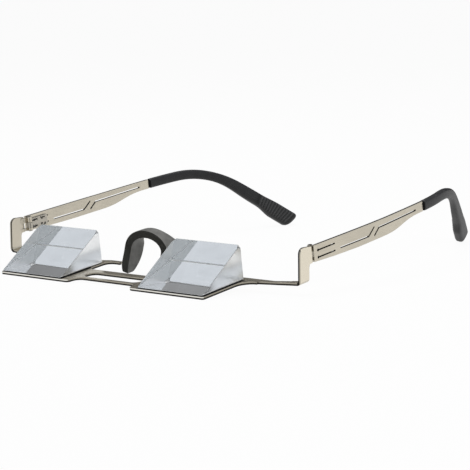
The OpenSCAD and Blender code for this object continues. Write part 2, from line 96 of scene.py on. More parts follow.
class SteelLook(bpy.types.PropertyGroup):
    sheet: colour("Sheet", "Colour of the brushed front sheet and temples", (0.62, 0.57, 0.47))
    clip: colour("Clip", "Colour of the spring clips", (0.47, 0.44, 0.38))
    pin: colour("Pin", "Colour of the hinge pins", (0.5, 0.48, 0.44))
    # Partly painted highlight: the front cut edges are painted bright, as where light catches them.
    sheared_and_highlight: colour("Sheared edge", "Colour of the bright part of the edges", (0.8, 0.78, 0.72))
    upper: colour("Upper edge", "Colour of the temples' upper edges", (0.2, 0.195, 0.185))
    # Painted shade too: torn edges, slit walls, the gap under the clips and specks round holes.
    torn: colour("Torn edge", "Colour of the torn part of the edges", (0.018, 0.017, 0.015))
    rough: factor("Roughness", "Roughness of the brushed faces", 0.3)
    streak: length("Streak", "Width of a brushing streak", 0.12)
    edge: length("Edge", "Rounding of the sheet's edges", 0.12)
    # Partly painted shade: the dark band round the prisms' feet is pressed-out bond and shade
    # there.
    bond: colour("Bond", "Colour of the bond pressed out round the prisms", (0.012,) * 3)


class GlassLook(bpy.types.PropertyGroup):
    width: length("Width", "Width of a prism", 30)
    depth: length("Depth", "Depth of a prism", 21.6)
    height: length("Height", "Height to which the slope would rise", 12.4)
    apart: length("Apart", "Distance between the prism centres", 67)
    bevel: length("Bevel", "Width of the ground bevels", 0.12)
    foot: length("Foot", "Size of the ground cuts round the underside", 0.35)
    corner: length("Corner", "Size of the cuts at the upper corners", 1.1)
    lift: length("Lift", "Gap over the lacquer, so that glass and lacquer share no face", 0.04)
    front_step: length("Front step", "Width left of the underside where the slope begins", 0.1)
    tint: colour("Glass", "Colour of the glass", (0.97, 0.98, 0.985))
    silver: colour("Silvering", "Colour of the silvered underside", (0.93, 0.94, 0.955))
    lacquer: colour("Lacquer", "Colour of the lacquer behind the silver", (0.015, 0.015, 0.016))
    bond: colour("Bond", "Colour of the bond on the tray", (0.02, 0.02, 0.02))
    frost: colour("Frost", "Colour of the ground bevels round the foot", (0.9, 0.92, 0.93))
    ground: factor("Ground edges", "Roughness of the small ground bevels", 0.35)
    sides: factor("Sides", "Roughness of the two side faces", 0.3)


class SaddleSizes(bpy.types.PropertyGroup):
    width: length("Width", "Width across the legs at their widest", 21.2)
    feet: length("Feet", "Width across the feet", 18.6)
    top: length("Top", "Height of the arch over the undersides of the prisms", 12.5)
    foot: length("Foot", "Depth of the feet below the undersides of the prisms", 3.2)
    front: length("Front", "Distance of the feet behind the front edge of the prisms", 22.2)
    set_back: length("Set back", "How far the arch stands behind the feet", 3.8)
    leg: length("Leg", "Thickness of a leg", 3.4)
    crown: length("Crown", "Thickness of the arch at its top", 2.8)
    crown_depth: length("Crown depth", "Depth of the arch at its top", 4.6)
    pad_depth: length("Pad depth", "Depth of the pads at their widest", 7.2)
    rubber: colour("Rubber", "Colour of the saddle", (0.155, 0.153, 0.145))
    # Painted highlight on the saddle's crests.
    crest_highlight: colour("Worn", "Colour of the saddle's rubbed edges", (0.2, 0.2, 0.19))
    # Painted shade: the saddle's front face is painted darker, as the face the lamps light least.
    dark: colour("Front", "Colour of the saddle's smooth front face", (0.045, 0.045, 0.04))


class TipSizes(bpy.types.PropertyGroup):
    neck_height: length("Neck height", "Height over the blade", 3.9)
    neck_thick: length("Neck thickness", "Thickness over the blade", 2.5)
    shank_height: length("Shank height", "Height half way down the drop", 5.3)
    paddle_height: length("Paddle height", "Height of the paddle", 7.1)
    paddle_thick: length("Paddle thickness", "Thickness of the paddle", 3.7)
    run: length("Run", "Length along the floor", 67.4)
    bow: length("Bow", "Radius of the inward curve seen from above", 92)
    turn: angle("Turn", "Heading of the paddle, inward from straight back", 28.5)
    drop_start: length("Drop start", "Distance from the blade where the drop begins", 15.6)
    drop: length("Drop radius", "Radius of the drop over the ear", 45)
    slope: angle("Slope", "Slope of the paddle", 38)
    twist: angle("Twist", "Twist of the paddle, its upper edge outward", 18)
    ribs: IntProperty(name="Ribs", description="Grip ribs inside the paddle", default=12, min=1)
    pitch: length("Rib pitch", "Distance from rib to rib", 1.4)
    rib: length("Rib height", "Height of a rib", 0.32)
    rubber: colour("Rubber", "Colour of the ear tips", (0.015, 0.015, 0.0155))
    # Painted highlight on the tips' crests and rib crests.
    crest_highlight: colour("Worn", "Colour of the rubbed edges and ribs", (0.045, 0.045, 0.046))
    # Painted shade on the collar at the blade.
    dark: colour("Collar", "Colour of the bare collar at the blade", (0.002, 0.002, 0.002))


class StageLook(bpy.types.PropertyGroup):
    floor: colour("Floor", "Colour of the floor and the room", (0.86, 0.86, 0.86))
    white: factor("White", "Share of plain white in the floor that the camera sees", 0.94)
    backdrop: colour("Backdrop", "Colour of the room as the camera sees it", (0.98, 0.98, 0.98))
    sides: colour("Sides", "Colour of the room on both sides, as steel and glass show it",
                  (0.71, 0.74, 0.775))
    behind: colour("Behind", "Colour of the room behind the glasses, near the floor",
                   (0.045, 0.045, 0.045))
    before: colour("Before", "Colour of the room before the glasses", (0.42, 0.46, 0.48))
    lamp: FloatProperty(name="Lamp", description="Power of the large lamp in watts",
                        default=5, min=0, unit="POWER")


# Shader maths.

class Shade:
    """A number that varies over a surface. A sum on it adds a Math node."""

    def __init__(self, paint, socket):
        self.paint, self.socket = paint, socket

    def maths(self, operation, *values):
        node = self.paint.add("ShaderNodeMath", {"operation": operation}, dict(enumerate(values)))
        return Shade(self.paint, node.outputs[0])

    def __add__(self, other):
        return self.maths("ADD", self, other)

    def __sub__(self, other):
        return self.maths("SUBTRACT", self, other)

    def __rsub__(self, other):
        return self.maths("SUBTRACT", other, self)

    def __mul__(self, other):
        return self.maths("MULTIPLY", self, other)

    def __abs__(self):
        return self.maths("ABSOLUTE", self)

    __radd__ = __add__
    __rmul__ = __mul__

    def over(self, limit):
        """1 over the limit, 0 up to it."""
        return self.maths("GREATER_THAN", self, limit)

    def most(self, other):
        return self.maths("MAXIMUM", self, other)

    def least(self, other):
        return self.maths("MINIMUM", self, other)

    def between(self, low, high):
        """0 at low, 1 at high, smooth between."""
        node = self.paint.add("ShaderNodeMapRange", {"interpolation_type": "SMOOTHSTEP"},
                              {"Value": self, "From Min": low, "From Max": high})
        return Shade(self.paint, node.outputs[0])

    def near(self, middle, reach, fade=0):
        """1 within reach of the middle, 0 beyond the fade outside it."""
        away = abs(self - middle)
        return 1 - (away.between(reach, reach + fade) if fade else away.over(reach))


class Paint:
    """A material or a world as it is put together from nodes."""

    def __init__(self, owner):
        owner.use_nodes = True
        self.owner, self.tree = owner, owner.node_tree
        self.tree.nodes.clear()

    def add(self, kind, settings=None, inputs=None):
        """One node of any kind: its settings first, then its sockets' values or links."""
        node = self.tree.nodes.new(kind)
        for key, value in (settings or {}).items():
            setattr(node, key, value)
        for key, value in (inputs or {}).items():
            if isinstance(value, Shade):
                self.tree.links.new(value.socket, node.inputs[key])
            elif isinstance(value, bpy.types.NodeSocket):
                self.tree.links.new(value, node.inputs[key])
            else:
                node.inputs[key].default_value = value
        return node

    def place(self):
        return self.add("ShaderNodeTexCoord").outputs["Object"]

    def dot(self, first, second):
        node = self.add("ShaderNodeVectorMath", {"operation": "DOT_PRODUCT"}, {0: first, 1: second})
        return Shade(self, node.outputs["Value"])

    def facing(self, direction):
        """How squarely the surface faces a direction of the front sheet's frame."""
        way = (SHEET.to_3x3() @ Vector(direction)).normalized()
        return self.dot(self.add("ShaderNodeTexCoord").outputs["Normal"], way)

    def along(self, direction):
        """Distance along a direction from the origin of the front sheet's frame."""
        way = (SHEET.to_3x3() @ Vector(direction)).normalized()
        return self.dot(self.place(), way) - SHEET.translation.dot(way)

    def noise(self, scale, detail=2, stretch=(1, 1, 1), rough=0.5):
        """Noise on Object coordinates, drawn out along the axes whose stretch is small."""
        mapped = self.add("ShaderNodeMapping", {}, {"Vector": self.place(), "Scale": stretch})
        node = self.add("ShaderNodeTexNoise", {}, {"Vector": mapped.outputs[0], "Scale": scale,
                                                   "Detail": detail, "Roughness": rough})
        return Shade(self, node.outputs[0])

    def blend(self, share, low, high):
        """One colour into another."""
        node = self.add("ShaderNodeMix", {"data_type": "RGBA", "clamp_factor": True},
                        {0: share, 6: rgba(low), 7: rgba(high)})
        return node.outputs[2]

    def bump(self, height, distance, strength=1.0, normal=None):
        inputs = {"Height": height, "Distance": distance, "Strength": strength}
        if normal:
            inputs["Normal"] = normal
        return self.add("ShaderNodeBump", {}, inputs).outputs[0]

    def surface(self, **sockets):
        """The standard shader. Base_Color stands for its socket Base Color, and so on."""
        inputs = {key.replace("_", " "): value for key, value in sockets.items()}
        return self.add("ShaderNodeBsdfPrincipled", {}, inputs).outputs[0]

    def glow(self, kind, colour, strength):
        """An Emission shader, or a world's Background shader."""
        return self.add(kind, {}, {"Color": colour, "Strength": strength}).outputs[0]

    def mix(self, share, first, second):
        return self.add("ShaderNodeMixShader", {}, {0: share, 1: first, 2: second}).outputs[0]

    def show(self, shader, kind="ShaderNodeOutputMaterial"):
        self.add(kind, {}, {"Surface": shader})
        return self.owner


def rgba(value):
    return value if isinstance(value, bpy.types.NodeSocket) else (*value[:3], 1)


def toned(value, share):
    """A colour made darker or lighter."""
    return tuple(c * share for c in value[:3])


def give(material, *nodes):
    """Puts a material on all slots of some CAD nodes."""
    for name in nodes:
        for held in frame["nodes"][name].material_slots:
            held.material = material


# Steel.

UP, BACK, FORWARD, ACROSS = (0, 0, 1), (0, 1, 0), (0, -1, 0), (1, 0, 0)

# Places in the front sheet's frame: out is the distance from its middle, height is over the
# undersides of the prisms, and back is behind their front edges. A pair is where something
# fades in, unless it says more.
WING_END = (68.7 * MM, 69 * MM)  # out, where the flat sheet ends and its bend begins
BEND_END = (-0.2 * MM, 0.4 * MM)  # height, where the bend ends and the upright begins
OUTER_SKIN = 70.3 * MM  # out, just inside the outer faces, painted lighter as a painted highlight
TORN_UNDER = (-0.85 * MM, -0.6 * MM)  # height, under which a flat edge is torn plus painted shade
TORN_INSIDE = (69.8 * MM, 70 * MM)  # out; bent or upright edges inside it: torn plus painted shade
TRAY_MIDDLE = (33.5 * MM, 10.8 * MM)  # out and back
BOND_REACH = (15.4 * MM, 11.2 * MM)  # from the tray's middle, out and back
BOND_FADE = 0.1 * MM

# The same for the clips and the temples they hold.
PLATE_BACK, PLATE_HEIGHT = 40.4 * MM, 7.4 * MM  # the middle of a clip's plate
PLATE_REACH = (4.4 * MM, 2.05 * MM)  # from that middle, back and in height
ROLL_END = 35.6 * MM  # back, where the clip's rolled end stops
SPECKS_START = 36 * MM  # back
CLIP_SKIN = 68.95 * MM  # out, just past the clip's inner face
BLADE_SKIN = 69.4 * MM  # out, where clip and blade touch
TAB_ENDS = 69.9 * MM  # out, the ends of the tabs in the slits
SKIN = 0.06 * MM  # a face within this of those two is in the gap
ROW = 1.25 * MM  # from the plate's middle height to each row of windows and holes
ROW_REACH = (0.45 * MM, 0.25 * MM)  # reach and fade, as in those below
WINDOWS, WINDOW_REACH = 37.9 * MM, (1.5 * MM, 0.5 * MM)
HOLES, HOLE_REACH = 42.5 * MM, (1.1 * MM, 0.4 * MM)
TEMPLE_TOP = 9.9 * MM  # height, over which only a temple's upper edge lies

# How a pattern is stretched into streaks along one axis.
STREAKS_ACROSS, STREAKS_BACK = (0.02, 1, 1), (1, 0.02, 1)


def brushed(name, look, base, layers, stretch):
    """Brushed sheet with fine streaks and small marks. The layers give how bare the steel is, and
    the masks and colours laid over it in turn."""
    paint = Paint(bpy.data.materials.new(name))
    streaks = paint.noise(1 / look.streak, 3, stretch, 0.65)
    broad = paint.noise(90, 2)
    marks = paint.noise(2600, 2).between(0.66, 0.74)
    shown = paint.blend(streaks.between(0.25, 0.75), toned(base, 0.84), toned(base, 1.1))
    shown = paint.blend(broad.between(0.35, 0.7) * 0.35, shown, toned(base, 0.78))
    bare, over = layers(paint, look)
    for mask, tone in over:
        shown = paint.blend(mask, shown, tone)
    rough = look.rough + (streaks - 0.5) * 0.22 + marks * 0.12
    rounded = paint.add("ShaderNodeBevel", {"samples": 4}, {"Radius": look.edge}).outputs[0]
    relief = paint.bump(streaks, 0.012 * MM, 0.5, rounded)
    return paint.show(paint.surface(Base_Color=shown, Metallic=bare, Roughness=rough,
                                    Normal=relief))


def turned_from(paint, direction):
    """1 where the surface faces neither along a direction nor against it."""
    return 1 - abs(paint.facing(direction)).between(0.3, 0.8)


def front_layers(paint, look):
    """The front sheet's cut edges, bright where they face forward, a shear band with a painted
    highlight, and dark where they are torn, with painted shade. The outer faces of the uprights
    are painted lighter, a painted highlight. The bond pressed out round the prisms is dark, with
    painted shade where glass meets tray. The rolled ends of the arms have no cut edge."""
    out, height, back = abs(paint.along(ACROSS)), paint.along(UP), paint.along(BACK)
    past_wing = out.between(*WING_END)
    upright = past_wing * height.between(*BEND_END)
    bend = past_wing * (1 - upright)
    flat = 1 - past_wing
    rolled = flat * height.over(0)
    cut = (turned_from(paint, UP) * flat * (1 - rolled) + turned_from(paint, ACROSS) * upright
           + abs(paint.facing(BACK)).between(0.5, 0.9) * bend)
    under = 1 - height.between(*TORN_UNDER)
    inside = 1 - out.between(*TORN_INSIDE)
    beside = (out.near(TRAY_MIDDLE[0], BOND_REACH[0], BOND_FADE)
              * back.near(TRAY_MIDDLE[1], BOND_REACH[1], BOND_FADE))
    bond = beside * paint.facing(UP).over(0.9) * (1 - height.over(0))
    return 1 - bond, (
        # Painted highlight: the outer faces of the uprights are painted lighter, as lit faces.
        (out.over(OUTER_SKIN), toned(look.sheet, 1.25)),
        (cut, toned(look.sheet, 0.55)),
        # Painted highlight with the shear band: cut edges in front of the prisms are painted
        # bright.
        (cut * (1 - back.over(0)), look.sheared_and_highlight),
        # Painted shade with the torn part, low on flat edges and inside bent and upright ones.
        (cut * (under * flat + inside * past_wing), look.torn),
        # Painted shade with the pressed-out bond, round each prism's foot.
        (bond, look.bond))


def side_layers(paint, look):
    """The cut edges of a temple or of a clip's plate, painted dark for their torn part and as
    painted shade in the slits, the upper edges less dark; painted shade in the gap where the two
    touch, seen through the slits and windows; and dark specks round the windows and holes. The
    rolled end of the clip has no cut edge."""
    out, height, back = abs(paint.along(ACROSS)), paint.along(UP), paint.along(BACK)
    under_clip = (height.near(PLATE_HEIGHT, PLATE_REACH[1])
                  * back.near(PLATE_BACK, PLATE_REACH[0]))
    gap = out.near(BLADE_SKIN, SKIN).most(out.near(TAB_ENDS, SKIN))
    row = abs(height - PLATE_HEIGHT).near(ROW, *ROW_REACH)
    punched = back.near(WINDOWS, *WINDOW_REACH).most(back.near(HOLES, *HOLE_REACH))
    dark_specks = row * punched * (1 - out.over(CLIP_SKIN)) * paint.noise(1100, 2).between(0.47, 0.53)
    cut = turned_from(paint, ACROSS) * back.over(ROLL_END)
    return 1.0, (
        # Painted shade on the cut edges, chiefly the slit walls, with their torn part; upper edges
        # less dark.
        (cut, look.torn),
        (cut * height.over(TEMPLE_TOP), look.upper),
        # Painted shade in the gap between clip and blade, seen through the slits and windows.
        (under_clip * gap, look.torn),
        # Dark specks round the windows and holes.
        (dark_specks * back.over(SPECKS_START), look.torn))


class BELAY_OT_steel(bpy.types.Operator):
    """Gives the front sheet, temples, clips and pins their brushed and polished steel"""
    bl_idname = "belay.steel"
    bl_label = "Steel"

    def execute(self, context):
        look = context.scene.belay_steel
        give(brushed("brushed_front_sheet", look, look.sheet, front_layers, STREAKS_ACROSS),
             "front_frame")
        give(brushed("brushed_temples", look, look.sheet, side_layers, STREAKS_BACK),
             "temple_left", "temple_right")
        give(brushed("spring_clips", look, look.clip, side_layers, STREAKS_BACK),
             "hinge_clip_left", "hinge_clip_right")
        paint = Paint(bpy.data.materials.new("turned_pins"))
        rings = paint.noise(4000, 2, (0.1, 0.1, 1))
        shown = paint.blend(rings, toned(look.pin, 0.8), look.pin)
        turned = paint.surface(Base_Color=shown, Metallic=1.0, Roughness=rings * 0.2 + 0.15)
        give(paint.show(turned), "hinge_pin_left", "hinge_pin_right")
        return {"FINISHED"}


# Glass, silver and bond.

FROST_RISE = 0.1 * MM  # how far the frost reaches over the cuts round the foot
UNDERSIDE = 0.02 * MM  # what lies less than this over the underside is silvered


def put_on_sheet():
    """Turns and moves what is selected from the front sheet's frame to the table's. The operator
    turns the other way when Blender has no window, so the angle is negative."""
    turn = SHEET.to_3x3()
    bpy.ops.transform.rotate(value=-turn.to_euler("XYZ")[0], orient_axis="X", orient_type="GLOBAL",
                             center_override=(0, 0, 0))
    bpy.ops.transform.translate(value=SHEET.translation)


def cut_off(point, normal):
    """Cuts away what lies beyond a plane and closes the cut."""
    bpy.ops.mesh.select_all(action="SELECT")
    bpy.ops.mesh.bisect(plane_co=point, plane_no=normal, use_fill=True, clear_outer=True)


def wedge(name, size):
    """The left prism: a block whose slope is cut, then the top, the upper corners and the foot,
    and last all edges but the upright ones."""
    bpy.ops.object.select_all(action="DESELECT")
    bpy.ops.mesh.primitive_cube_add(size=1, location=(0, 0, 0))
    piece = bpy.context.object
    piece.name = piece.data.name = name
    bpy.ops.object.mode_set(mode="EDIT")
    bpy.ops.mesh.select_all(action="SELECT")
    tall = size.height - size.lift
    bpy.ops.transform.resize(value=(size.width, size.depth, tall))
    bpy.ops.transform.translate(value=(size.apart / 2, size.depth / 2, size.lift + tall / 2))
    cut_off((0, size.front_step, size.lift), (0, -size.height, size.depth))
    cut_off((0, size.depth, size.height - size.bevel), UP)
    for side in (-1, 1):
        edge = size.apart / 2 + side * size.width / 2
        cut_off((edge, 0, size.height - size.corner), (side, 0, 1))
        cut_off((edge, 0, size.lift + size.foot), (side, 0, -1))
    cut_off((0, size.depth, size.lift + size.foot), (0, 1, -1))
    bpy.ops.mesh.select_mode(type="EDGE")
    bpy.ops.mesh.select_all(action="DESELECT")
    bpy.ops.object.mode_set(mode="OBJECT")
    for edge in piece.data.edges:
        ends = [piece.data.vertices[v].co for v in edge.vertices]
        edge.select = abs((ends[0] - ends[1]).normalized().z) < 0.9
    bpy.ops.object.mode_set(mode="EDIT")
    bpy.ops.mesh.bevel(offset=size.bevel, offset_type="OFFSET", segments=2, profile=0.5,
                       affect="EDGES")
    bpy.ops.mesh.select_all(action="SELECT")
    put_on_sheet()
    bpy.ops.mesh.normals_make_consistent(inside=False)
    bpy.ops.object.mode_set(mode="OBJECT")
    return piece


def mirrored(piece, name):
    """A copy on the other side of the middle, with its own mesh, facing outwards."""
    bpy.ops.object.select_all(action="DESELECT")
    piece.select_set(True)
    bpy.context.view_layer.objects.active = piece
    bpy.ops.object.duplicate()
    copy = bpy.context.object
    copy.name = copy.data.name = name
    bpy.ops.object.mode_set(mode="EDIT")
    bpy.ops.mesh.select_all(action="SELECT")
    bpy.ops.transform.resize(value=(-1, 1, 1), orient_type="GLOBAL", center_override=(0, 0, 0))
    bpy.ops.mesh.normals_make_consistent(inside=False)
    bpy.ops.object.mode_set(mode="OBJECT")
    return copy


def prism_glass(look):
    """Clear glass with rough side faces and ground bevels, frosted round the foot and silvered
    underneath."""
    paint = Paint(bpy.data.materials.new("prism_glass"))
    squarely = abs(paint.facing(UP))
    for face in (BACK, ACROSS, (0, -look.height, look.depth)):
        squarely = squarely.most(abs(paint.facing(face)))
    ground = 1 - squarely.between(0.985, 0.995)
    sides = abs(paint.facing(ACROSS)).over(0.9)
    height = paint.along(UP)
    glass = paint.surface(Base_Color=rgba(look.tint), IOR=1.52, Transmission_Weight=1.0,
                          Roughness=ground * look.ground + sides * look.sides)
    frost = paint.surface(Base_Color=rgba(look.frost), Roughness=0.5)
    spots = paint.noise(150, 1)
    silver = paint.blend(spots.between(0.4, 0.75), look.silver, toned(look.silver, 0.94))
    mirror = paint.surface(Base_Color=silver, Metallic=1.0, Roughness=spots * 0.004)
    foot = ground * (1 - height.over(look.lift + look.foot + FROST_RISE))
    below = 1 - height.over(look.lift + UNDERSIDE)
    return paint.show(paint.mix(below, paint.mix(foot, glass, frost), mirror))


class BELAY_OT_prisms(bpy.types.Operator):
    """Cuts the prisms, silvers their undersides and colours the layers under them"""
    bl_idname = "belay.prisms"
    bl_label = "Prisms"

    def execute(self, context):
        look = context.scene.belay_glass
        left = wedge("glass_prism_left", look)
        left.data.materials.append(prism_glass(look))
        for piece, side in ((left, "left"), (mirrored(left, "glass_prism_right"), "right")):
            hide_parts("prism_" + side)
            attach(piece, "front")

        paint = Paint(bpy.data.materials.new("silver_lacquer"))
        grain = paint.noise(1500, 3)
        shown = paint.blend(grain, look.lacquer, toned(look.lacquer, 0.6))
        lacquer = paint.surface(Base_Color=shown, Roughness=grain * 0.2 + 0.35)
        give(paint.show(lacquer), "mirror_coat_left", "mirror_coat_right")

        paint = Paint(bpy.data.materials.new("black_bond"))
        grain = paint.noise(1200, 3)
        shown = paint.blend(grain, look.bond, toned(look.bond, 0.5))
        bond = paint.surface(Base_Color=shown, Roughness=grain * 0.3 + 0.5,
                             Normal=paint.bump(grain, 0.02 * MM))
        give(paint.show(bond), "bond_pad_left", "bond_pad_right")
        return {"FINISHED"}


# Rubber.

RIB = "rib"  # the mesh attribute that is 0 between ribs, 1 on a rib and 0.5 elsewhere


def rubber(name, look, rough, shaded_part, ribbed=False):
    """Moulded rubber: a fine satin grain, soft mottling, painted highlights on its crests and
    painted shade in its hollows, and a duller, darker part of painted shade where the given part
    mask is 1."""
    paint = Paint(bpy.data.materials.new(name))
    base = look.rubber
    grain = paint.noise(6000, 2)
    mottle = paint.noise(350, 4)
    bent = Shade(paint, paint.add("ShaderNodeNewGeometry").outputs["Pointiness"])
    shown = paint.blend(mottle.between(0.3, 0.75), toned(base, 0.8), toned(base, 1.2))
    # Painted highlight on the crests and painted shade in the hollows, from how sharply the surface
    # bends.
    shown = paint.blend(bent.between(0.505, 0.56) * 0.8, shown, look.crest_highlight)
    shown = paint.blend((1 - bent.between(0.44, 0.495)) * 0.7, shown, toned(base, 0.3))
    if ribbed:
        # Painted highlight on the rib crests and painted shade between the ribs.
        held = paint.add("ShaderNodeAttribute", {"attribute_name": RIB})
        rib = Shade(paint, held.outputs["Fac"])
        shown = paint.blend(rib.between(0.55, 0.95), shown, look.crest_highlight)
        shown = paint.blend(1 - rib.between(0.1, 0.45), shown, toned(base, 0.1))
    rough = rough + (grain - 0.5) * 0.12 + (mottle - 0.5) * 0.1
    relief = paint.bump(grain, 0.02 * MM, 0.6)
    satin = paint.surface(Base_Color=shown, Roughness=rough, Normal=relief,
                          Specular_IOR_Level=0.35)
    matt = paint.surface(Base_Color=paint.blend(mottle, look.dark, toned(look.dark, 0.6)),
                         Roughness=rough + 0.2, Normal=relief, Specular_IOR_Level=0.15)
    return paint.show(paint.mix(shaded_part(paint), satin, matt))


def ease(value, low, high):
    """Smooth step from 0 to 1 while value goes from low to high."""
    t = max(0.0, min(1.0, (value - low) / (high - low)))
    return t * t * (3 - 2 * t)


class Ring:
    """A section of a loft: its centre, half width along side and half height along up."""

    def __init__(self, centre, side, up, half_width, half_height):
        self.centre = SHEET @ Vector(centre)
        side = (SHEET.to_3x3() @ Vector(side)).normalized()
        up = SHEET.to_3x3() @ Vector(up)
        up = (up - side * up.dot(side)).normalized()
        self.turn = Matrix((side, up, side.cross(up))).transposed()
        self.half = Vector((half_width, half_height))


def turn_selected(turn, centre):
    """Turns what is selected about a point by a rotation matrix, one axis after another. The
    angles are negative for the same reason as in put_on_sheet."""
    for axis, amount in zip("XYZ", turn.to_euler("XYZ")):
        bpy.ops.transform.rotate(value=-amount, orient_axis=axis, orient_type="GLOBAL",
                                 center_override=centre)


def size_selected(scale, turn, centre):
    """Scales what is selected about a point, along the axes of a rotation matrix."""
    bpy.ops.transform.resize(value=(*scale, 1), orient_type="GLOBAL", orient_matrix=turn,
                             orient_matrix_type="GLOBAL", center_override=centre)


def loft(name, rings, corner):
    """A square plane with rounded corners, put on the first ring and extruded, turned and sized to
    the rest. The corner is a share of half its width."""
    bpy.ops.object.select_all(action="DESELECT")
    bpy.ops.mesh.primitive_plane_add(size=2, location=(0, 0, 0))
    piece = bpy.context.object
    piece.name = piece.data.name = name
    bpy.ops.object.mode_set(mode="EDIT")
    bpy.ops.mesh.select_mode(type="VERT")
    bpy.ops.mesh.select_all(action="SELECT")
    bpy.ops.mesh.bevel(offset=corner, offset_type="OFFSET", segments=3, profile=0.5,
                       affect="VERTICES")
    bpy.ops.mesh.select_mode(type="FACE")
    bpy.ops.mesh.select_all(action="SELECT")
    origin = Vector((0, 0, 0))
    last = None
    for ring in rings:
        if last is None:
            size_selected(ring.half, Matrix.Identity(3), origin)
            turn_selected(ring.turn, origin)
            bpy.ops.transform.translate(value=ring.centre)
        else:
            move = ring.centre - last.centre
            bpy.ops.mesh.extrude_region_move(TRANSFORM_OT_translate={"value": move})
            turn_selected(ring.turn @ last.turn.transposed(), ring.centre)
            growth = [new / old for new, old in zip(ring.half, last.half)]
            size_selected(growth, ring.turn, ring.centre)
        last = ring
    bpy.ops.mesh.select_all(action="SELECT")
    bpy.ops.mesh.normals_make_consistent(inside=False)
    bpy.ops.mesh.select_all(action="DESELECT")
    bpy.ops.object.mode_set(mode="OBJECT")
    return piece


def shift_points(piece, chosen, value):
    """Moves some points, given by their numbers."""
    for index in chosen:
        piece.data.vertices[index].select = True
    bpy.ops.object.mode_set(mode="EDIT")
    bpy.ops.mesh.select_mode(type="VERT")
    bpy.ops.transform.translate(value=value)
    bpy.ops.mesh.select_all(action="DESELECT")
    bpy.ops.object.mode_set(mode="OBJECT")


def clear_selection(piece):
    for kind in (piece.data.vertices, piece.data.edges, piece.data.polygons):
        kind.foreach_set("select", [False] * len(kind))


def smooth(piece, levels):
    """One subdivision surface, applied, and smooth faces."""
    bpy.ops.object.select_all(action="DESELECT")
    piece.select_set(True)
    bpy.context.view_layer.objects.active = piece
    modifier = piece.modifiers.new("smooth", "SUBSURF")
    modifier.levels = modifier.render_levels = levels
    bpy.ops.object.modifier_apply(modifier=modifier.name)
    bpy.ops.object.shade_smooth()


# The nose saddle.

LEG_STEPS = 8
ARCH_STEPS = 20

# Heights over the undersides of the prisms, where the saddle's form changes.
PAD_WIDEST = 3 * MM
ARCH_START = 4.6 * MM
PAD_FADE = 6 * MM
SET_BACK_END = 6.5 * MM

FOOT_DEPTH = 2.4 * MM
FOOT_THICK = 0.8  # share of the leg's thickness
FOOT_LONG = 0.4  # share of the leg's height over which it thickens
PAD_ROUND = 0.7  # under 1 for a pad that is full near its foot
ARCH_DIP = 0.18  # slope of the top of the arch, down towards the back


def pad_depth(size, z):
    """How deep the saddle is, front to back, at a height."""
    if z <= -size.foot:
        return FOOT_DEPTH
    if z < PAD_WIDEST:
        share = sin(pi / 2 * (z + size.foot) / (PAD_WIDEST + size.foot)) ** PAD_ROUND
        return FOOT_DEPTH + (size.pad_depth - FOOT_DEPTH) * share
    fade = ease(z, PAD_FADE, size.top - size.crown / 2)
    return size.pad_depth + (size.crown_depth - size.pad_depth) * fade


def saddle_rings(size):
    """Up one leg, over the arch and down the other, the feet forward and the pads deepest."""
    arch_x = (size.width - size.leg) / 2
    foot_x = (size.feet - FOOT_THICK * size.leg) / 2
    leg_height = ARCH_START + size.foot
    rise = size.top - size.crown / 2 - ARCH_START
    path = ([(i / LEG_STEPS, 0) for i in range(LEG_STEPS)]
            + [(1, pi * i / ARCH_STEPS) for i in range(ARCH_STEPS + 1)]
            + [(i / LEG_STEPS, pi) for i in reversed(range(LEG_STEPS))])
    rings = []
    for t, a in path:
        reach = foot_x + (arch_x - foot_x) * sin(pi / 2 * t)
        x, z = -reach * cos(a), -size.foot + t * leg_height + rise * sin(a)
        thick = (size.leg + (size.crown - size.leg) * sin(a)) * (
            FOOT_THICK + (1 - FOOT_THICK) * ease(t, 0, FOOT_LONG))
        deep = pad_depth(size, z) / 2
        y = size.front + size.set_back * ease(z, -size.foot, SET_BACK_END) + deep
        splay = atan((arch_x - foot_x) * cos(pi / 2 * t) * pi / 2 / leg_height) * cos(a)
        out = (-cos(a) * cos(splay), 0, sin(a) + (sin(abs(splay)) if t < 1 else 0))
        rings.append(Ring((x, y, z), out, (0, 1, -ARCH_DIP * sin(a)), thick / 2, deep))
    return rings


def faces_front(paint):
    """1 on the saddle's front face, which is painted darker than the rest, as painted shade."""
    return paint.facing(FORWARD).between(0.45, 0.8)


class BELAY_OT_nose_saddle(bpy.types.Operator):
    """Lofts the rubber nose saddle"""
    bl_idname = "belay.nose_saddle"
    bl_label = "Nose saddle"

    def execute(self, context):
        size = context.scene.belay_saddle
        piece = loft("rubber_nose_saddle", saddle_rings(size), corner=0.12)
        smooth(piece, 2)
        piece.data.materials.append(rubber("saddle_rubber_grain", size, 0.5, faces_front))
        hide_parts("nose_saddle")
        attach(piece, "front")
        return {"FINISHED"}


# The ear tips.

# The start of the tip's line in the front sheet's frame, and its heading there, inward from
# straight back, which is the blade's.
TIP_START = Vector((67.927, 102.4, 8.45)) * MM
BLADE_TURN = asin(51 / 660)

# Distances along the floor from the blade, between which the neck grows to the shank and the
# shank to the paddle.
SHANK = (33 * MM, 50 * MM)
PADDLE = (52.5 * MM, 59.5 * MM)

ABOVE = 0.28  # share of that growth that lies above the centreline
LEAN = 0.45  # how far the paddle's section leans along the line
NECK_GAP = 0.05 * MM  # from the start of the line to the first section
COLLAR = 0.9 * MM  # length of the end at the blade that is painted shade
SAME = 0.05 * MM  # points this near a section's plane belong to it
END_ROUND = 1.8 * MM
END_POWER = 2.6  # 2 for a round end, more for a blunter one
END_LEAST = 0.2  # share of the section left at the very end
PLAIN_STEPS = 26
RIB_STEPS = 4
END_STEPS = 5


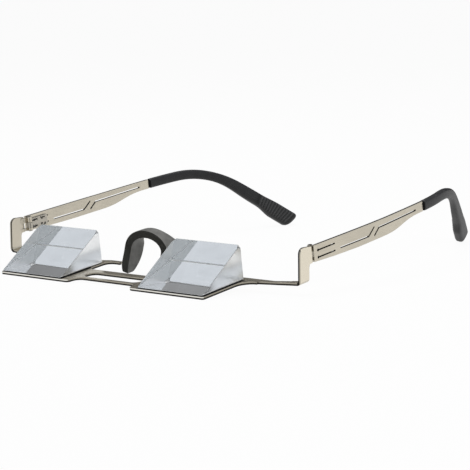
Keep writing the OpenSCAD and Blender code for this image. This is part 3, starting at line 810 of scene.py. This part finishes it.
class TipLine:
    """The left ear tip's centreline and section at a distance h along the floor from the blade."""

    def __init__(self, size):
        self.size = size
        self.bow_run = size.bow * (size.turn - BLADE_TURN)
        self.rib_end = size.run - END_ROUND
        self.rib_step = size.pitch * cos(size.slope) / RIB_STEPS
        self.rib_start = self.rib_end - size.ribs * RIB_STEPS * self.rib_step

    def heading(self, h):
        return BLADE_TURN + h / self.size.bow if h < self.bow_run else self.size.turn

    def slope(self, h):
        fall = (h - self.size.drop_start) / self.size.drop
        return asin(max(0, min(sin(self.size.slope), fall)))

    def point(self, h):
        size, a = self.size, self.heading(h)
        past = max(0, h - self.bow_run)
        fallen = max(0, h - size.drop_start - size.drop * sin(size.slope))
        return TIP_START + Vector((
            size.bow * (cos(a) - cos(BLADE_TURN)) - past * sin(a),
            size.bow * (sin(a) - sin(BLADE_TURN)) + past * cos(a),
            -size.drop * (1 - cos(self.slope(h))) - fallen * tan(size.slope)))

    def ring(self, h, share=1.0):
        """The section at h, twisted and leaning, or a share of it."""
        size = self.size
        a, s = self.heading(h), self.slope(h)
        side = Vector((cos(a), sin(a), 0))
        above = Vector((-sin(a) * sin(s), cos(a) * sin(s), cos(s)))
        along = Vector((-sin(a) * cos(s), cos(a) * cos(s), -sin(s)))
        w = size.twist * ease(h, size.drop_start, PADDLE[1])
        out, rise = side * cos(w) - above * sin(w), above * cos(w) + side * sin(w)
        growth = ((size.shank_height - size.neck_height) * ease(h, *SHANK)
                  + (size.paddle_height - size.shank_height) * ease(h, *PADDLE))
        height, offset = size.neck_height + growth, (2 * ABOVE - 1) * growth / 2
        fuller = ease(h, SHANK[0], PADDLE[1])
        thick = size.neck_thick + (size.paddle_thick - size.neck_thick) * fuller
        up = rise + along * LEAN * ease(h, PADDLE[0], size.run)
        return Ring(self.point(h) + up * offset, out, up, share * thick / 2,
                    share * up.length * height / 2)


def tip_rings(size):
    """All sections of the left tip, and those that carry ribs with how far each is raised."""
    line = TipLine(size)
    rings = [line.ring(max(NECK_GAP, line.rib_start * i / PLAIN_STEPS))
             for i in range(PLAIN_STEPS)]
    ribbed = []
    for i in range(size.ribs * RIB_STEPS + 1):
        rings.append(line.ring(line.rib_start + i * line.rib_step))
        ribbed.append((rings[-1], sin(pi * i / RIB_STEPS) ** 2))
    for i in range(1, END_STEPS + 1):
        t = sin(pi / 2 * i / END_STEPS)
        share = max(END_LEAST, max(0, 1 - t ** END_POWER) ** (1 / END_POWER))
        rings.append(line.ring(line.rib_end + END_ROUND * t, share))
    return rings, ribbed


def inner_points(piece, ring):
    """The numbers of a ring's points on its inner face, near the limit of its half width."""
    side, normal = ring.turn.col[0], ring.turn.col[2]
    return [point.index for point in piece.data.vertices
            if abs((point.co - ring.centre).dot(normal)) < SAME
            and (point.co - ring.centre).dot(side) < -0.9 * ring.half[0]]


def left_tip(size):
    """The left ear tip, smooth, with its ribs raised, and kept no further back and no lower than
    the CAD solid's box.
    """
    rings, ribbed = tip_rings(size)
    piece = loft("rubber_ear_tip_left", rings, corner=0.58)
    clear_selection(piece)
    heights = [0.5] * len(piece.data.vertices)
    for ring, raised in ribbed:
        inner = inner_points(piece, ring)
        for index in inner:
            heights[index] = raised
        if raised > 0.1:
            shift_points(piece, inner, -ring.turn.col[0] * size.rib * raised)
    piece.data.attributes.new(RIB, "FLOAT", "POINT").data.foreach_set("value", heights)
    smooth(piece, 2)
    low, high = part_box("ear_tip_left")
    for point in piece.data.vertices:
        point.co.y, point.co.z = min(point.co.y, high[1]), max(point.co.z, low[2])
    return piece


def collar(paint):
    """1 on the short end at the blade, which is painted darker than the rest, as painted shade."""
    return 1 - paint.along(BACK).over(TIP_START.y + COLLAR)


class BELAY_OT_ear_tips(bpy.types.Operator):
    """Lofts the left rubber ear tip with its grip ribs, and mirrors it"""
    bl_idname = "belay.ear_tips"
    bl_label = "Ear tips"

    def execute(self, context):
        size = context.scene.belay_tips
        left = left_tip(size)
        left.data.materials.append(rubber("tip_rubber_grain", size, 0.46, collar, ribbed=True))
        right = mirrored(left, "rubber_ear_tip_right")
        for piece, side in ((left, "left"), (right, "right")):
            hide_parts("ear_tip_" + side)
            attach(piece, "temple_" + side + "_body")
        return {"FINISHED"}


# The stage.

CAMERA_AT = (0.467035, -0.565138, 0.111003)
CAMERA_TURN = (82.03755, 0.91476, 39.8605)
CAMERA_LENS = 148.113
CAMERA_LOOKS = (-0.64, 0.77, 0)  # the level direction from the camera to the object

# Each lamp's name, place, size and share of the large lamp's power.
LAMPS = (("large_lamp", (-0.25, 0.1, 1.0), 0.7, 1.0),
         ("side_lamp", (0.7, -0.2, 0.5), 0.4, 0.3))
FLOOR_SIZE = 40


def rays_that_look(paint):
    """Two masks: rays from the camera, a mirror or glass, and rays straight from the camera. The
    other rays carry light."""
    path = paint.add("ShaderNodeLightPath")
    straight = Shade(paint, path.outputs["Is Camera Ray"])
    seen = straight
    for name in ("Is Glossy Ray", "Is Transmission Ray"):
        seen = seen + Shade(paint, path.outputs[name])
    return seen.least(1), straight


def lay_floor(look):
    """A pale floor that keeps the object's shadow and shows nearly white."""
    bpy.ops.object.select_all(action="DESELECT")
    bpy.ops.mesh.primitive_plane_add(size=FLOOR_SIZE, location=(0, 0, 0))
    floor = bpy.context.object
    floor.name = "floor"
    paint = Paint(bpy.data.materials.new("pale_floor"))
    matt = paint.surface(Base_Color=rgba(look.floor), Roughness=0.9)
    white = paint.glow("ShaderNodeEmission", (1, 1, 1, 1), 1.0)
    seen, _ = rays_that_look(paint)
    floor.data.materials.append(paint.show(paint.mix(seen * look.white, matt, white)))


def pale_room(look):
    """A dim even room for light. Steel and glass see it darker behind the glasses, near the floor,
    and a little darker before them, and the camera sees it white."""
    world = bpy.data.worlds.new("pale_room")
    paint = Paint(world)
    seen, straight = rays_that_look(paint)
    dim = paint.glow("ShaderNodeBackground", rgba(look.floor), 0.5)
    way = paint.add("ShaderNodeTexCoord").outputs["Generated"]
    away = paint.dot(way, CAMERA_LOOKS)
    high = Shade(paint, paint.add("ShaderNodeSeparateXYZ", {}, {0: way}).outputs["Z"])
    behind = paint.blend(high.between(0.38, 0.58), look.behind, toned(look.behind, 7))
    room = paint.blend(away.between(0.45, 0.78), look.sides, behind)
    room = paint.blend((away * -1).between(0.35, 0.75), room, look.before)
    room = paint.blend(straight, room, look.backdrop)
    bright = paint.glow("ShaderNodeBackground", room, 1.0)
    paint.show(paint.mix(seen, dim, bright), "ShaderNodeOutputWorld")
    return world


class BELAY_OT_stage(bpy.types.Operator):
    """Adds the pale floor, the plain soft light and the camera"""
    bl_idname = "belay.stage"
    bl_label = "Stage"

    def execute(self, context):
        look = context.scene.belay_stage
        lay_floor(look)
        context.scene.world = pale_room(look)

        for name, place, size, share in LAMPS:
            bpy.ops.object.light_add(type="AREA", location=place)
            lamp = bpy.context.object
            lamp.name = name
            lamp.data.size, lamp.data.energy = size, look.lamp * share
            lamp.visible_transmission = False  # no bright spots inside the prisms
            lamp.rotation_euler = (-Vector(place)).to_track_quat("-Z", "Y").to_euler()

        bpy.ops.object.camera_add(location=CAMERA_AT, rotation=[radians(a) for a in CAMERA_TURN])
        camera = bpy.context.object
        camera.name = "photo_view"
        camera.data.sensor_width, camera.data.lens = 36, CAMERA_LENS
        camera.data.clip_start = 0.01
        context.scene.camera = camera
        context.scene.view_settings.view_transform = "Standard"
        return {"FINISHED"}


OPERATORS = (BELAY_OT_steel, BELAY_OT_prisms, BELAY_OT_nose_saddle, BELAY_OT_ear_tips,
             BELAY_OT_stage)
GROUPS = (("belay_steel", SteelLook), ("belay_glass", GlassLook), ("belay_saddle", SaddleSizes),
          ("belay_tips", TipSizes), ("belay_stage", StageLook))


class BELAY_PT_panel(bpy.types.Panel):
    """Sizes, colours and steps of the belay glasses"""
    bl_idname = "BELAY_PT_panel"
    bl_label = "Belay glasses"
    bl_space_type = "VIEW_3D"
    bl_region_type = "UI"
    bl_category = "Belay glasses"

    def draw(self, context):
        for (attribute, group), step in zip(GROUPS, OPERATORS):
            box = self.layout.box()
            box.operator(step.bl_idname)
            for name in group.__annotations__:
                box.prop(getattr(context.scene, attribute), name)


def register():
    for attribute, group in GROUPS:
        bpy.utils.register_class(group)
        setattr(bpy.types.Scene, attribute, PointerProperty(type=group))
    for item in (*OPERATORS, BELAY_PT_panel):
        bpy.utils.register_class(item)


def unregister():
    for item in (BELAY_PT_panel, *reversed(OPERATORS)):
        bpy.utils.unregister_class(item)
    for attribute, group in reversed(GROUPS):
        delattr(bpy.types.Scene, attribute)
        bpy.utils.unregister_class(group)


def main():
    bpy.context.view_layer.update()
    register()
    for step in (bpy.ops.belay.steel, bpy.ops.belay.prisms, bpy.ops.belay.nose_saddle,
                 bpy.ops.belay.ear_tips, bpy.ops.belay.stage):
        step()


if __name__ == "__main__":
    main()
